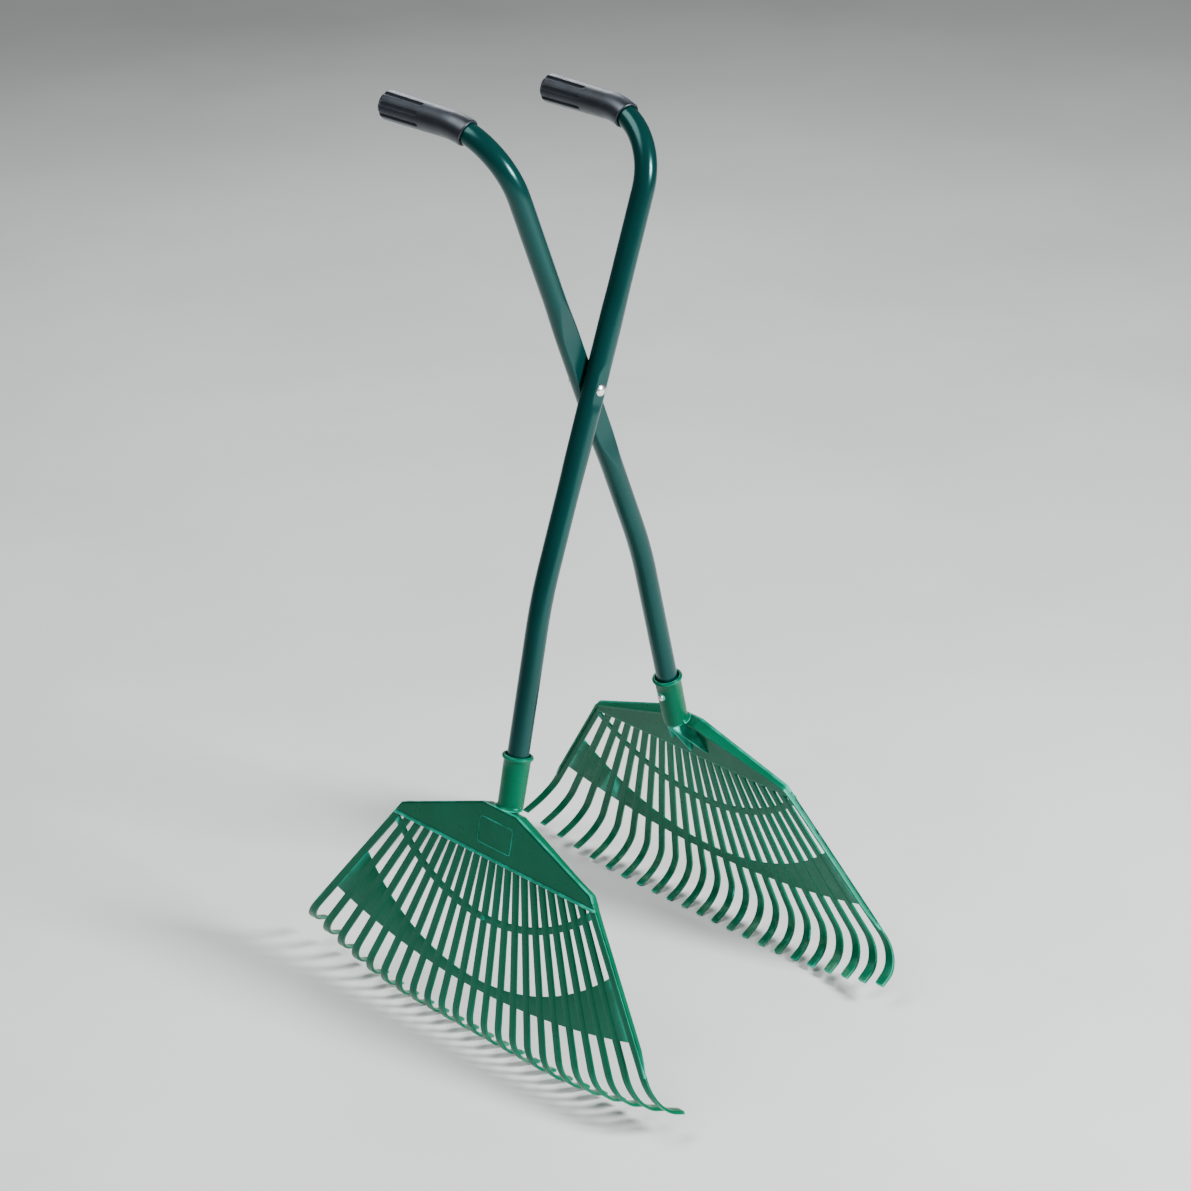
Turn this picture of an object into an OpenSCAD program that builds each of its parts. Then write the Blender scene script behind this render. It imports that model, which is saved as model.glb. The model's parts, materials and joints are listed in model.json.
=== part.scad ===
// Scissor leaf grabber: two crossed steel tube arms on one pivot bolt.
// Each arm ends in a moulded rake head below and a bent, rubber-gripped handle above.
// X is the way the heads open, Y is the pivot axis, Z is up, and the tine tips stand on z = 0.

/* [Tubes] */
// Outside diameter of the arm tubes
tube_d = 22; // [21:0.5:23]
// Wall thickness of the arm tubes
tube_wall = 1.2; // [1:0.1:1.5]
// Lean of the upper arms from vertical
upper_lean = 20.8; // [18:0.1:23]
// Lean of the lower arms from vertical
lower_lean = 13; // [11:0.1:15]
// Pivot to the middle of the slight lower bend
knee_drop = 212; // [190:1:230]
// Lower bend to the top ring of the rake socket
shin_len = 160; // [140:1:180]
// Pivot to the corner of the handle bend, front arm
front_reach = 261; // [240:1:290]
// Pivot to the corner of the handle bend, rear arm
rear_reach = 288; // [240:1:300]
// Radius of the handle bend
handle_bend_r = 68; // [60:1:75]
// Radius of the slight lower bend
knee_bend_r = 450; // [300:10:600]

/* [Pivot] */
// Distance from the middle plane to each tube axis
arm_offset = 7; // [6.8:0.1:8]
// Tube axis to the pressed flat that faces the other arm
inner_flat = 6.5; // [6:0.1:6.7]
// Tube axis to the small pressed seat under the bolt head or the nut
outer_flat = 9.2; // [8.5:0.1:9.5]
// Diameter of the pivot bolt
bolt_d = 6; // [5:0.5:7]
// Radial running clearance around the pivot bolt
bolt_clearance = 0.05; // [0.03:0.01:0.08]

/* [Grips] */
// How far round the handle bend the mouth of the grip reaches
grip_wrap = 22; // [15:1:28]
// Length of the straight part of the grip
grip_len = 84; // [75:1:95]
// Outside diameter of the grip at its closed end
grip_d = 29; // [28:0.5:31]
// Number of flutes along the grip
flutes = 8; // [6:1:9]

/* [Rake head] */
// Number of tines on each side of the middle one
side_tines = 11; // [8:1:12]
// Angle between neighbouring tines
tine_pitch = 3.24; // [3:0.01:3.3]
// Width of a tine
tine_w = 8.2; // [7:0.1:8.6]
// Thickness of a tine
tine_t = 3; // [2.6:0.1:3.4]
// Radius of the inward curl at the tips
curl_r = 30; // [26:1:36]
// Angle of the inward curl
curl_angle = 80; // [72:1:84]
// Straight length after the curl
tip_len = 12; // [8:1:16]
// Head base to the level of the middle tips
tip_drop = 250; // [244:1:255]
// Half width of the yoke plate at its corners
yoke_half_w = 137; // [132:1:140]

/* [Hidden] */
$fn = 96;

tube_green = "#1a4c46";
head_green = "#1f8f68";
rubber_black = "#1d2024";
steel = "#c9ced2";

// tubes
tube_r = tube_d / 2;
bore_r = tube_r - tube_wall;
shin_slim = 0.05;
knee_overlap = 0.5;
knee_angle = upper_lean - lower_lean;
knee_tangent = knee_bend_r * tan(knee_angle / 2);
socket_len = 55;
base_drop = shin_len + socket_len;
tube_floor = 3;
shin_run = base_drop - tube_floor - knee_tangent;
flat_half = 60;
ramp_end = 104;
seat_half = 12;
seat_ramp_end = 24;

// pivot hardware
bolt_r = bolt_d / 2;
bolt_head_r = 6;
bolt_head_h = 3.4;
bolt_tail = 8.3;
seat_y = arm_offset + outer_flat;
gap_half = arm_offset - inner_flat;
slip = 0.1;
nut_washer_h = 1.2;
nut_h = 6;
nut_flats = 10;

// grips
grip_mouth_r = 13.6;
grip_r = grip_d / 2;
grip_dome_r = 5;
grip_squeeze = 0.1;
grip_floor = 6;
flute_r = 2.4;

// rake head, in its own frame: +x out of the tool, y across, z up along the socket
fan_apex = 141;
face_x = 15.3;
plate_t = 3.5;
tine_x = 13.5;
socket_r = 13;
socket_top_r = 13.6;
socket_squeeze = 0.05;
shoulder_drop = 41.5;
yoke_foot = 55;
neck_half_w = 24;
fan_angle = side_tines * tine_pitch;
curl_along = curl_r * sin(curl_angle) + tip_len * cos(curl_angle);
curl_inward = curl_r * (1 - cos(curl_angle)) + tip_len * sin(curl_angle);
screw_z = 36;
screw_r = 1.75;
screw_head_r = 4;
screw_head_h = 2.6;
tip_slim = 0.2;
tip_t = tine_t - tip_slim;

// Level below the head base at which tine k ends: flat in the middle, higher at the sides
side_rise = 28;
flat_tines = 4;
function side_share(k) = max(0, abs(k) - flat_tines) / (side_tines - flat_tines);
function tip_level(k) = tip_drop - side_rise * pow(side_share(k), 2);

// Height of the pivot that puts the lowest edge of the middle tips on the floor
pivot_z = knee_drop * cos(upper_lean) + (base_drop + tip_drop) * cos(lower_lean)
    + (curl_inward - tine_x) * sin(lower_lean)
    + tip_t / 2 * sin(curl_angle - lower_lean);

// Stands a y-z outline up and gives it a thickness along +x from x0
module plate(x0, thickness) {
    translate([x0, 0, 0])
        rotate([90, 0, 90])
            linear_extrude(thickness)
                children();
}

// Stands an x-z outline up, centred on y = 0
module rib(thickness) {
    rotate([90, 0, 0])
        linear_extrude(thickness, center = true)
            children();
}

// Puts an arm's parts in place, with their local z along the upper tube
module arm(side) {
    mirror([side > 0 ? 1 : 0, 0, 0])
        translate([0, side * arm_offset, pivot_z])
            rotate([0, upper_lean, 0])
                children();
}
module front_arm() {
    arm(-1)
        children();
}
module rear_arm() {
    arm(1)
        children();
}
// From the arm's frame to the lower tube, z along it and the bend's corner at the origin
module below_knee() {
    translate([0, 0, -knee_drop])
        rotate([0, -knee_angle, 0])
            children();
}
// From the arm's frame to the handle, z along the grip and the end of the bend at the origin
module along_handle(reach) {
    translate([0, handle_bend_r, reach])
        rotate([-90, 0, 0])
            children();
}
// A round bar of radius r along the last degrees of the handle bend
module handle_bend(r, reach, degrees) {
    translate([0, handle_bend_r, reach - handle_bend_r])
        rotate([0, 90, 0])
            rotate([0, 0, 180])
                rotate_extrude(angle = degrees)
                    translate([handle_bend_r, 0])
                        circle(r);
}
// From the arm's frame to the head's own frame
module at_head() {
    below_knee()
        translate([0, 0, -base_drop])
            rotate([0, 0, 180])
                children();
}

// The run of one arm tube as a solid rod of radius r, a touch slimmer below the lower bend
module tube_run(r, reach, trim) {
    cylinder(r = r, h = reach - handle_bend_r);
    handle_bend(r, reach, 90);
    along_handle(reach)
        cylinder(r = r, h = grip_len - grip_floor + trim);
    translate([0, 0, knee_tangent - knee_drop])
        cylinder(r = r, h = knee_drop - knee_tangent);
    translate([knee_bend_r, 0, knee_tangent - knee_drop])
        rotate([90, 0, 0])
            rotate([0, 0, 180])
                rotate_extrude(angle = knee_angle)
                    translate([knee_bend_r, 0])
                        circle(r);
    below_knee()
        translate([0, 0, tube_floor - base_drop - trim])
            cylinder(r = r - shin_slim, h = shin_run + knee_overlap + trim);
}

// What the press takes off a rod of radius r to leave a flat, ramped at both ends
module press(r, flat, half, ramp) {
    over = 0.5;
    rotate([0, 90, 0])
        linear_extrude(4 * r, center = true)
            polygon([[-ramp, r + over], [-half, flat], [half, flat], [ramp, r + over],
                     [ramp, 2 * r], [-ramp, 2 * r]]);
}
module pressed_run(r, reach, side, trim, inset) {
    difference() {
        tube_run(r, reach, trim);
        mirror([0, side > 0 ? 1 : 0, 0])
            press(r, inner_flat - inset, flat_half, ramp_end);
        mirror([0, side > 0 ? 0 : 1, 0])
            press(r, outer_flat - inset, seat_half, seat_ramp_end);
    }
}
module tube(reach, side) {
    color(tube_green)
        difference() {
            pressed_run(tube_r, reach, side, 0, 0);
            pressed_run(bore_r, reach, side, 1, tube_wall);
            rotate([90, 0, 0])
                cylinder(r = bolt_r + bolt_clearance, h = 4 * tube_r, center = true);
        }
}

// Outline of the grip on one side of its axis: tapered body and a rounded closed end
module grip_profile() {
    corner = grip_r - grip_dome_r;
    polygon([[0, 0], [grip_mouth_r, 0], [grip_r, grip_len - grip_dome_r],
             [0, grip_len - grip_dome_r]]);
    translate([0, grip_len - grip_dome_r - 1])
        square([corner, grip_dome_r + 1]);
    translate([corner, grip_len - grip_dome_r])
        intersection() {
            circle(grip_dome_r);
            square(grip_dome_r);
        }
}
// Half outline of the round cutter for one flute, with a short cone at both ends
module flute_profile(run) {
    nose = 3;
    nose_r = 0.8;
    polygon([[0, -nose], [nose_r, -nose], [flute_r, 0], [flute_r, run], [nose_r, run + nose],
             [0, run + nose]]);
}
module grip(reach) {
    bore = tube_r - grip_squeeze;
    flute_out = grip_r + 0.4;
    flute_from = grip_len - 54;
    color(rubber_black)
        difference() {
            union() {
                along_handle(reach)
                    rotate_extrude()
                        grip_profile();
                handle_bend(grip_mouth_r, reach, grip_wrap);
            }
            along_handle(reach)
                cylinder(r = bore, h = grip_len - grip_floor);
            handle_bend(bore, reach, grip_wrap + 5);
            along_handle(reach)
                for (i = [0 : flutes - 1])
                    rotate([0, 0, i * 360 / flutes])
                        translate([flute_out, 0, flute_from])
                            rotate_extrude()
                                flute_profile(46);
        }
}

// Distance along tine k from the fan's apex to a level below the head base
function along_tine(k, drop) = (fan_apex + drop) / cos(k * tine_pitch);

// The bent sheet that tines ending at one level are cut from, curled about a level line
module tine_sheet(level) {
    half_w = (fan_apex + tip_drop) * tan(fan_angle) + tine_w;
    start = yoke_foot - 8;
    curl_start = level - curl_along;
    tip_overlap = 1;
    translate([tine_x - tine_t / 2, -half_w, -curl_start])
        cube([tine_t, 2 * half_w, curl_start - start]);
    translate([tine_x - curl_r, 0, -curl_start]) {
        rotate([-90, 0, 0])
            rotate_extrude(angle = curl_angle)
                translate([curl_r - tine_t / 2, -half_w])
                    square([tine_t, 2 * half_w]);
        rotate([0, curl_angle, 0])
            translate([curl_r - tip_t / 2, -half_w, -tip_len])
                cube([tip_t, 2 * half_w, tip_len + tip_overlap]);
    }
}
// The straight strip that cuts tine k out of its sheet, leaning from the fan's apex
module tine_strip(k) {
    reach = along_tine(k, tip_drop) + 20;
    depth = curl_inward + 10;
    translate([0, 0, fan_apex])
        rotate([k * tine_pitch, 0, 0])
            translate([tine_x + 5 - depth, -tine_w / 2, -reach])
                cube([depth, tine_w, reach]);
}
// All tines: a flat row in the middle and pairs that end higher towards both sides
module tines() {
    intersection() {
        tine_sheet(tip_drop);
        for (k = [-flat_tines : flat_tines])
            tine_strip(k);
    }
    for (k = [flat_tines + 1 : side_tines])
        intersection() {
            tine_sheet(tip_level(k));
            for (side = [-1, 1])
                tine_strip(side * k);
        }
}
// Edge flange along the outermost tine, tapering out before the curl
module side_flange(side) {
    flange_t = 2.2;
    flange_x = 8;
    taper = 20;
    from = along_tine(side_tines, shoulder_drop);
    to = along_tine(side_tines, tip_level(side_tines) - curl_along);
    translate([0, 0, fan_apex])
        rotate([side * fan_angle, 0, 0])
            translate([0, side * (tine_w - flange_t) / 2, 0])
                rib(flange_t)
                    polygon([[tine_x, -from], [flange_x, -from], [flange_x, taper - to],
                             [tine_x, -to]]);
}
// The wedge that holds the fan, as a y-z outline
module fan_wedge() {
    far = 460;
    half = far * tan(fan_angle);
    polygon([[0, fan_apex], [half, fan_apex - far], [-half, fan_apex - far]]);
}
module thin_band() {
    band_r = 202;
    band_centre = 86.5;
    half_w = 3.8;
    plate(tine_x - 1.2, 2.4)
        intersection() {
            fan_wedge();
            translate([0, band_centre])
                difference() {
                    circle(band_r + half_w, $fn = 180);
                    circle(band_r - half_w, $fn = 180);
                }
        }
}
module wide_web() {
    upper_r = 253;
    upper_centre = 72;
    lower_r = 809;
    lower_centre = 618;
    plate(tine_x - 1.1, 2.2)
        difference() {
            intersection() {
                fan_wedge();
                translate([0, lower_centre])
                    circle(lower_r, $fn = 360);
            }
            translate([0, upper_centre])
                circle(upper_r, $fn = 180);
        }
}
// Plate that joins the socket to the tines, with a folded flange along its top
module yoke() {
    rim = 2.5;
    foot_half_w = (fan_apex + yoke_foot) * tan(fan_angle) + tine_w / 2 / cos(fan_angle);
    slope = atan(shoulder_drop / (yoke_half_w - neck_half_w));
    deep_x = 0.3;
    shallow_x = 6.8;
    inner_x = face_x - plate_t;
    plate(inner_x, plate_t)
        polygon([[neck_half_w, 0], [yoke_half_w, -shoulder_drop], [foot_half_w, -yoke_foot],
                 [-foot_half_w, -yoke_foot], [-yoke_half_w, -shoulder_drop], [-neck_half_w, 0]]);
    intersection() {
        plate(0, face_x)
            polygon([[neck_half_w, 0], [yoke_half_w, -shoulder_drop],
                     [yoke_half_w, -shoulder_drop - rim / cos(slope)],
                     [neck_half_w - rim * tan(slope / 2), -rim],
                     [-neck_half_w + rim * tan(slope / 2), -rim],
                     [-yoke_half_w, -shoulder_drop - rim / cos(slope)],
                     [-yoke_half_w, -shoulder_drop], [-neck_half_w, 0]]);
        translate([0, 0, -2 * yoke_foot])
            linear_extrude(3 * yoke_foot)
                polygon([[deep_x, -neck_half_w], [deep_x, neck_half_w],
                         [shallow_x, yoke_half_w], [inner_x + 1, yoke_half_w],
                         [inner_x + 1, -yoke_half_w], [shallow_x, -yoke_half_w]]);
    }
    translate([face_x, 0, 1.3 - yoke_foot])
        rotate([90, 0, 0])
            cylinder(r = 1.2, h = 2 * foot_half_w - 6, center = true);
}
// Stiffening ribs fanning out behind the plate from under the socket
module gussets() {
    rib_t = 2.4;
    foot = 50;
    for (lean = [-30, 0, 30])
        rotate([lean, 0, 0])
            rib(rib_t)
                polygon([[tine_x, -1.5], [-11, -1.5], [-11, -4], [face_x - plate_t, -foot],
                         [tine_x, -foot]]);
}
module socket() {
    floor_z = 2;
    bead_r = 2.2;
    collar_h = 6;
    collar_r = 18;
    difference() {
        union() {
            translate([0, 0, -2])
                cylinder(r1 = socket_r, r2 = socket_top_r, h = socket_len + 2);
            translate([0, 0, socket_len - bead_r])
                rotate_extrude()
                    translate([socket_top_r, 0])
                        circle(bead_r, $fn = 32);
            intersection() {
                cylinder(r1 = collar_r, r2 = socket_r, h = collar_h);
                translate([-1, -collar_r, 0])
                    cube([face_x + 1, 2 * collar_r, collar_h]);
            }
            translate([-socket_top_r - 0.4, 0, screw_z])
                rotate([0, 90, 0])
                    cylinder(r = screw_head_r + 1, h = 3);
        }
        translate([0, 0, floor_z])
            cylinder(r = tube_r - shin_slim - socket_squeeze, h = socket_len);
    }
}
module rake_head() {
    color(head_green) {
        socket();
        yoke();
        gussets();
        tines();
        side_flange(-1);
        side_flange(1);
        thin_band();
        wide_web();
    }
}

// Pan-head screw through the inner side of the socket into the tube
module socket_screw() {
    shank = 10;
    recess_w = 1;
    recess_l = 4.6;
    recess_h = 1.3;
    color(steel)
        translate([-socket_top_r - 0.4, 0, screw_z])
            rotate([0, -90, 0])
                difference() {
                    union() {
                        translate([0, 0, -shank])
                            cylinder(r = screw_r, h = shank + 1);
                        rotate_extrude()
                            round_head(screw_head_r, screw_head_h, 0.8);
                    }
                    for (turn = [0, 90])
                        rotate([0, 0, turn])
                            translate([-recess_l / 2, -recess_w / 2, screw_head_h - recess_h])
                                cube([recess_l, recess_w, 2 * recess_h]);
                }
}

// Half outline of a domed head with a short straight rim
module round_head(r, h, rim) {
    cap = h - rim;
    dome_r = (r * r + cap * cap) / (2 * cap);
    intersection() {
        translate([0, h - dome_r])
            circle(dome_r);
        square([r, h]);
    }
}
// Places pivot hardware: local z along +Y, origin on the middle plane
module on_pivot() {
    translate([0, 0, pivot_z])
        rotate([-90, 0, 0])
            children();
}
module pivot_bolt() {
    tip_chamfer = 0.8;
    tail_z = seat_y + bolt_tail;
    color(steel)
        on_pivot() {
            translate([0, 0, -seat_y])
                cylinder(r = bolt_r, h = seat_y + tail_z - tip_chamfer);
            translate([0, 0, tail_z - tip_chamfer])
                cylinder(r1 = bolt_r, r2 = bolt_r - tip_chamfer, h = tip_chamfer);
            translate([0, 0, -seat_y])
                rotate([180, 0, 0])
                    rotate_extrude()
                        round_head(bolt_head_r, bolt_head_h, 0.8);
        }
}
module ring_washer(r_out, r_in, h) {
    difference() {
        cylinder(r = r_out, h = h);
        translate([0, 0, -1])
            cylinder(r = r_in, h = h + 2);
    }
}
module spacer_washer() {
    color(steel)
        on_pivot()
            translate([0, 0, -gap_half])
                ring_washer(8.5, bolt_r + slip, 2 * gap_half - slip);
}
module nut_washer() {
    color(steel)
        on_pivot()
            translate([0, 0, seat_y + slip])
                ring_washer(6.4, bolt_r + slip, nut_washer_h);
}
module pivot_nut() {
    squeeze = 0.04;
    collar_h = 1.6;
    hex_h = nut_h - collar_h;
    color(steel)
        on_pivot()
            translate([0, 0, seat_y + slip + nut_washer_h])
                difference() {
                    union() {
                        cylinder(r = nut_flats / 2 / cos(30), h = hex_h, $fn = 6);
                        translate([0, 0, hex_h])
                            cylinder(r1 = nut_flats / 2, r2 = nut_flats / 2 - 1, h = collar_h);
                    }
                    translate([0, 0, -1])
                        cylinder(r = bolt_r - squeeze, h = nut_h + 2);
                }
}

front_arm() tube(front_reach, -1);  // tube_a
rear_arm() tube(rear_reach, 1);  // tube_b
front_arm() grip(front_reach);  // grip_a
rear_arm() grip(rear_reach);  // grip_b
front_arm() at_head() rake_head();  // rake_head_a
rear_arm() at_head() rake_head();  // rake_head_b
front_arm() at_head() socket_screw();  // socket_screw_a
rear_arm() at_head() socket_screw();  // socket_screw_b
pivot_bolt();
pivot_nut();
spacer_washer();
nut_washer();
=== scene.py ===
"""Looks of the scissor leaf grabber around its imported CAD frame.

Lengths are millimetres until place() makes them metres.
"""

import json
import math

import bmesh
import bpy
from mathutils import Matrix, Vector


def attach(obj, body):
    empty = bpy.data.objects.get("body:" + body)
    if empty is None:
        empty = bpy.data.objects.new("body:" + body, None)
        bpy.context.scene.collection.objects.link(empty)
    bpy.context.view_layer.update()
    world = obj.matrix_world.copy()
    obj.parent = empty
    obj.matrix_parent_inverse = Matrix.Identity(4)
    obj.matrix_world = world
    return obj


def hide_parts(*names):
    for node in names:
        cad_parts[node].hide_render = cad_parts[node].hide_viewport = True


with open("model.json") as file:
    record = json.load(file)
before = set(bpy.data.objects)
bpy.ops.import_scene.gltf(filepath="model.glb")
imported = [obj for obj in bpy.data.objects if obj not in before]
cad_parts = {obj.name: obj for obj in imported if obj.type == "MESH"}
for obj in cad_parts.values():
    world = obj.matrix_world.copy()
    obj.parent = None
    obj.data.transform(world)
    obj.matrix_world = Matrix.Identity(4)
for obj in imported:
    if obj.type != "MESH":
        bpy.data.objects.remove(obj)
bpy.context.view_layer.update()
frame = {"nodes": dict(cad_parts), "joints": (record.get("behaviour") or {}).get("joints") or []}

# ---------------------------------------------------------------- dimensions, as in the CAD
MM = 0.001
PIVOT_Z = frame["joints"][0]["pos_m"][2] / MM
UPPER_LEAN = 20.8
LOWER_LEAN = 13.0
KNEE_ANGLE = UPPER_LEAN - LOWER_LEAN
KNEE_DROP = 212.0
KNEE_R = 450.0
KNEE_TANGENT = KNEE_R * math.tan(math.radians(KNEE_ANGLE / 2))
BASE_DROP = 215.0
TUBE_FLOOR = 3.0
REACH = {"a": 261.0, "b": 288.0}
HANDLE_R = 68.0
ARM_OFFSET = 7.0
TUBE_R = 11.0
WALL = 1.2
INNER_FLAT = 6.5
OUTER_FLAT = 9.2
FLAT_HALF, RAMP_END = 55.0, 108.0
SEAT_HALF, SEAT_RAMP_END = 12.0, 26.0
GRIP_WRAP, GRIP_LEN, GRIP_FLOOR = 22.0, 84.0, 6.0
GRIP_MOUTH_R, GRIP_R, GRIP_DOME_R = 13.6, 14.5, 5.0
FLUTES = 8

SIDE_TINES, TINE_PITCH = 11, 3.24
FAN_ANGLE = math.radians(SIDE_TINES * TINE_PITCH)
FAN_APEX = 141.0
TINE_W, TINE_T, TINE_X = 8.2, 3.0, 13.5
CURL_R, CURL, TIP_LEN, TIP_SIZE = 30.0, math.radians(80.0), 12.0, 0.93
CURL_ALONG = CURL_R * math.sin(CURL) + TIP_LEN * math.cos(CURL)
TIP_DROP, SIDE_RISE, FLAT_TINES = 250.0, 28.0, 4
FACE_X, PLATE_T = 15.3, 3.5
NECK_HALF, SHOULDER_DROP, YOKE_FOOT = 24.0, 41.5, 55.0
BAND_R, BAND_CENTRE = 202.0, 86.5
WEB_UPPER_R, WEB_UPPER_CENTRE = 253.0, 72.0
WEB_LOWER_R, WEB_LOWER_CENTRE = 809.0, 618.0
SOCKET_LEN, SOCKET_R, SOCKET_FLARE, BORE_R = 55.0, 13.05, 0.5, 11.02
SEAT_Y = ARM_OFFSET + OUTER_FLAT
BOLT_R = 3.0


def shift(x=0.0, y=0.0, z=0.0):
    return Matrix.Translation((x, y, z))


def turn(degrees, axis):
    return Matrix.Rotation(math.radians(degrees), 4, axis)


def arm_frame(side):
    """The arm's own frame: z up along its upper tube, the pivot at the origin."""
    if side == "a":
        return shift(0, -ARM_OFFSET, PIVOT_Z) @ turn(UPPER_LEAN, "Y")
    mirror = Matrix.Scale(-1, 4, (1, 0, 0))
    return mirror @ shift(0, ARM_OFFSET, PIVOT_Z) @ turn(UPPER_LEAN, "Y")


BELOW_KNEE = shift(z=-KNEE_DROP) @ turn(-KNEE_ANGLE, "Y")
AT_HEAD = BELOW_KNEE @ shift(z=-BASE_DROP) @ turn(180, "Z")
ON_PIVOT = shift(z=PIVOT_Z) @ turn(-90, "X")


def smooth(low, high, x):
    """0 below low, 1 above high, and an S-curve between them."""
    t = min(1.0, max(0.0, (x - low) / (high - low)))
    return t * t * (3 - 2 * t)


# ---------------------------------------------------------------- mesh building
class Shape:
    """Closed shells gathered into one mesh."""

    def __init__(self):
        self.points, self.faces = [], []

    def add(self, points, faces, matrix=Matrix.Identity(4)):
        first = len(self.points)
        self.points += [matrix @ Vector(p) for p in points]
        self.faces += [[first + i for i in face] for face in faces]
        return self

    def loft(self, rings, matrix=Matrix.Identity(4), ring_loop=False):
        """Skins a row of rings of equally many points, and caps both ends unless the row closes."""
        count, rows = len(rings[0]), len(rings)
        faces = []
        for i in range(rows if ring_loop else rows - 1):
            a, b = i * count, (i + 1) % rows * count
            faces += [[a + j, a + (j + 1) % count, b + (j + 1) % count, b + j] for j in range(count)]
        if not ring_loop:
            faces += [list(range(count))[::-1], list(range((rows - 1) * count, rows * count))]
        return self.add([p for ring in rings for p in ring], faces, matrix)

    def lathe(self, profile, matrix=Matrix.Identity(4), steps=72):
        """Revolves (radius, z) points about z. A radius of 0 at an end closes to one point."""
        profile = [(max(r, 1e-4), z) for r, z in profile]
        angles = [2 * math.pi * i / steps for i in range(steps)]
        rings = [[(r * math.cos(t), r * math.sin(t), z) for t in angles] for r, z in profile]
        return self.loft(rings, matrix)

    def slab(self, outline, low, high, bevel, place, matrix=Matrix.Identity(4), margin=0.0):
        """A plate with rounded rims: outline is (u, v) points, place(u, v, t) makes the 3-D point.

        A margin adds one more ring on each flat side, that far inside the rim.
        """
        levels = [(low, bevel + margin)] if margin else []
        for share in (0.0, 0.3, 1.0):
            levels.append((low + bevel * share, bevel * (1 - math.sqrt(1 - (1 - share) ** 2))))
        levels += [(low + high - t, cut) for t, cut in reversed(levels)]
        rings = [[place(u, v, t) for u, v in inset(outline, cut)] for t, cut in levels]
        return self.loft(rings, matrix)


def inset(outline, amount):
    """Moves a closed outline inwards by amount, along the mean normal at each corner."""
    area = sum(a[0] * b[1] - b[0] * a[1] for a, b in zip(outline, outline[1:] + outline[:1]))
    side = 1 if area > 0 else -1
    moved = []
    for i, here in enumerate(outline):
        here = Vector(here)
        back = (here - Vector(outline[i - 1])).normalized()
        on = (Vector(outline[(i + 1) % len(outline)]) - here).normalized()
        normal = Vector((-(back + on).y, (back + on).x)).normalized()
        lean = max(0.3, normal.dot(Vector((-on.y, on.x))))
        moved.append(tuple(here + normal * (side * amount / lean)))
    return moved


def round_corners(corners, radius, closed=True, steps=6):
    """Replaces corners of a 2-D line by arcs of the given radius."""
    line = []
    count = len(corners)
    for i, corner in enumerate(corners):
        if not closed and i in (0, count - 1):
            line.append(tuple(corner))
            continue
        here = Vector(corner)
        to_back = (Vector(corners[i - 1]) - here).normalized()
        to_next = (Vector(corners[(i + 1) % count]) - here).normalized()
        half = to_back.angle(to_next) / 2
        reach = radius / math.tan(half)
        centre = here + (to_back + to_next).normalized() * (radius / math.sin(half))
        start, end = here + to_back * reach - centre, here + to_next * reach - centre
        for step in range(steps + 1):
            spoke = start.lerp(end, step / steps)
            line.append(tuple(centre + spoke.normalized() * radius))
    return line


def rounded_rect(width, height, radius, steps=4):
    """Closed outline of a rectangle centred on the origin, with quarter-round corners."""
    points = []
    for quarter, (sx, sy) in enumerate(((1, 1), (-1, 1), (-1, -1), (1, -1))):
        for step in range(steps + 1):
            t = math.pi / 2 * (quarter + step / steps)
            points.append((sx * (width / 2 - radius) + radius * math.cos(t),
                           sy * (height / 2 - radius) + radius * math.sin(t)))
    return points


def place(name, shape, matrix, body, material, slot, replaced=(), sharp=32.0):
    """Makes the piece in metres in the row frame, shades it and lets it ride on its body."""
    to_row = Matrix.Scale(MM, 4) @ matrix
    mesh = bpy.data.meshes.new(name)
    mesh.from_pydata([to_row @ p for p in shape.points], [], shape.faces)
    work = bmesh.new()
    work.from_mesh(mesh)
    bmesh.ops.remove_doubles(work, verts=work.verts, dist=1e-7)
    bmesh.ops.recalc_face_normals(work, faces=work.faces)
    work.to_mesh(mesh)
    work.free()
    mesh.shade_smooth()
    mesh.set_sharp_from_angle(angle=math.radians(sharp))
    mesh.materials.append(material)
    piece = bpy.data.objects.new(name, mesh)
    bpy.context.scene.collection.objects.link(piece)
    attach(piece, body)
    if replaced:
        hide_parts(*replaced)
    return piece


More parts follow.
